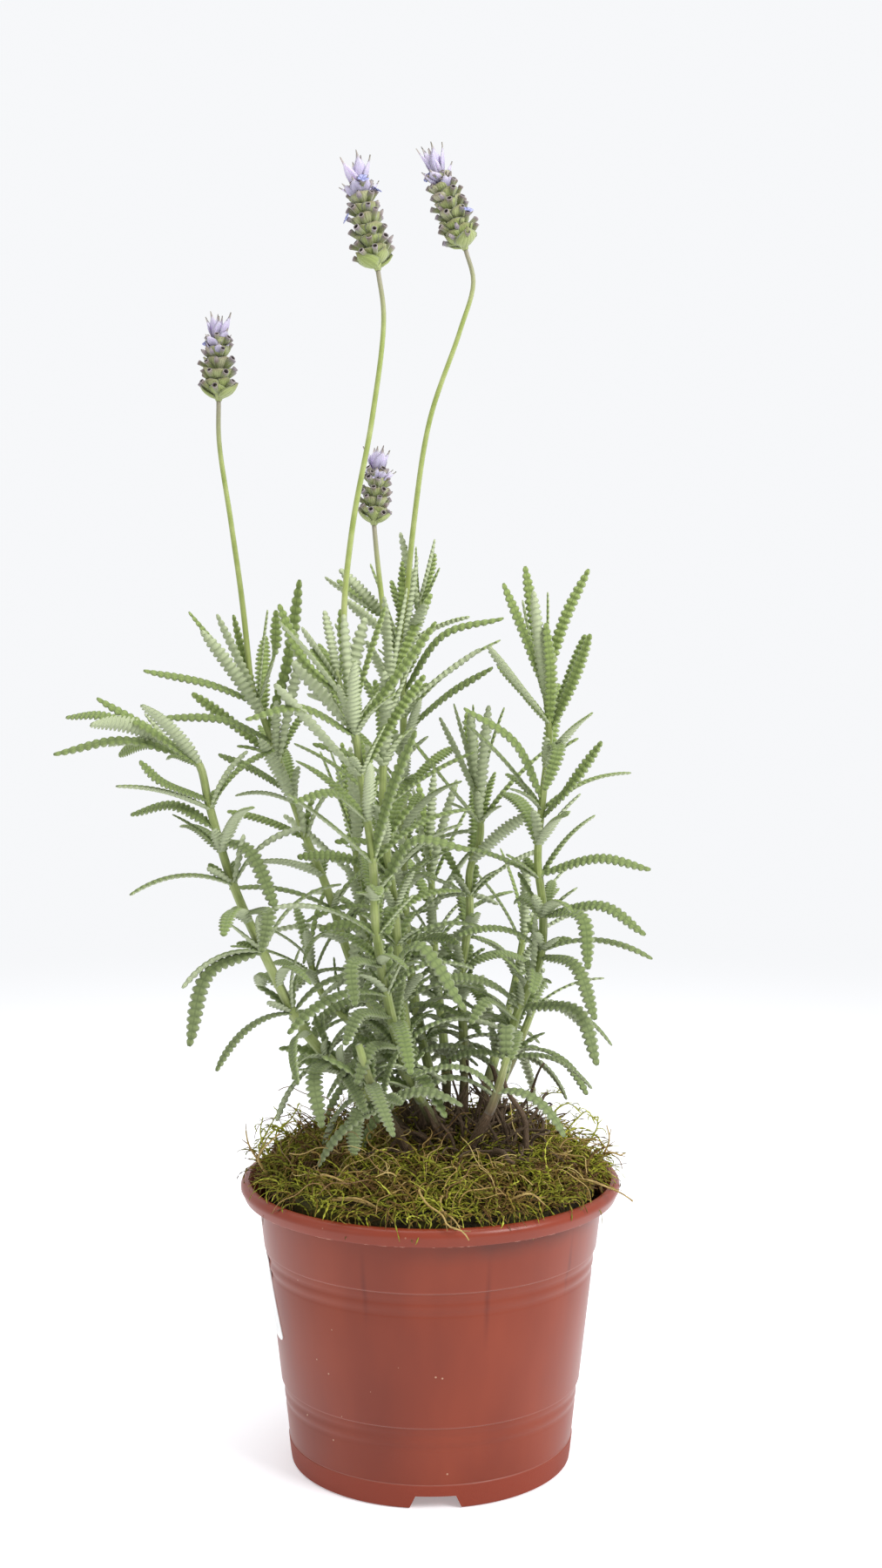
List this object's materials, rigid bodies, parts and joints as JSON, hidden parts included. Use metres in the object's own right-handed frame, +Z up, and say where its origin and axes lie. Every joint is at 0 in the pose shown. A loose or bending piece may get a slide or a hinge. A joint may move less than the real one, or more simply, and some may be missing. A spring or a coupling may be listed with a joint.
{
  "type": "potted lavender",
  "caption": "Fringed lavender plant with toothed leaves and tall flower spikes, growing in a round moulded nursery pot topped with moss.",
  "frame": {"origin": "bottom centre of the whole object's bounding box, in the plane that the pot stands on", "axes": "+Z up along the pot's axis, +X to the right as the plant is mostly seen, with the label on the -X side, +Y away from that viewer"},
  "size_m": [0.2064, 0.166, 0.4839],
  "materials": {
    "pot_plastic": "moulded satin-gloss terracotta-coloured polypropylene",
    "label_paper": "plain white coated sticker",
    "soil": "damp dark potting compost",
    "moss": "matte tangled sheet moss, olive to yellow-green",
    "bark": "rough brown bark",
    "leaf": "matte grey-green leaf with fine pale felt",
    "stalk": "smooth green four-sided stalk",
    "calyx": "felted grey-purple calyces with green bracts",
    "crest": "thin lilac bracts with fine veins"
  },
  "bodies": {
    "root": {"pot": "pot_plastic", "blank_label": "label_paper", "soil": "soil", "moss_mat": "moss", "woody_crown": "bark", "shoot_far_left": "leaf", "shoot_left_flowering": "leaf", "shoot_main_flowering": "leaf", "shoot_rear_flowering": "leaf", "shoot_small_flowering": "leaf", "shoot_right": "leaf", "shoot_middle_right": "leaf", "shoot_low_left": "leaf", "shoot_low_right": "leaf", "shoot_back_left": "leaf", "shoot_back_middle": "leaf", "shoot_back_right": "leaf", "shoot_front_left": "leaf", "shoot_front_right": "leaf", "flower_stalk_left": "stalk", "flower_spike_left": "calyx", "crest_bracts_left": "crest", "flower_stalk_main": "stalk", "flower_spike_main": "calyx", "crest_bracts_main": "crest", "flower_stalk_rear": "stalk", "flower_spike_rear": "calyx", "crest_bracts_rear": "crest", "flower_stalk_small": "stalk", "flower_spike_small": "calyx", "crest_bracts_small": "crest"}
  },
  "joints": []
}
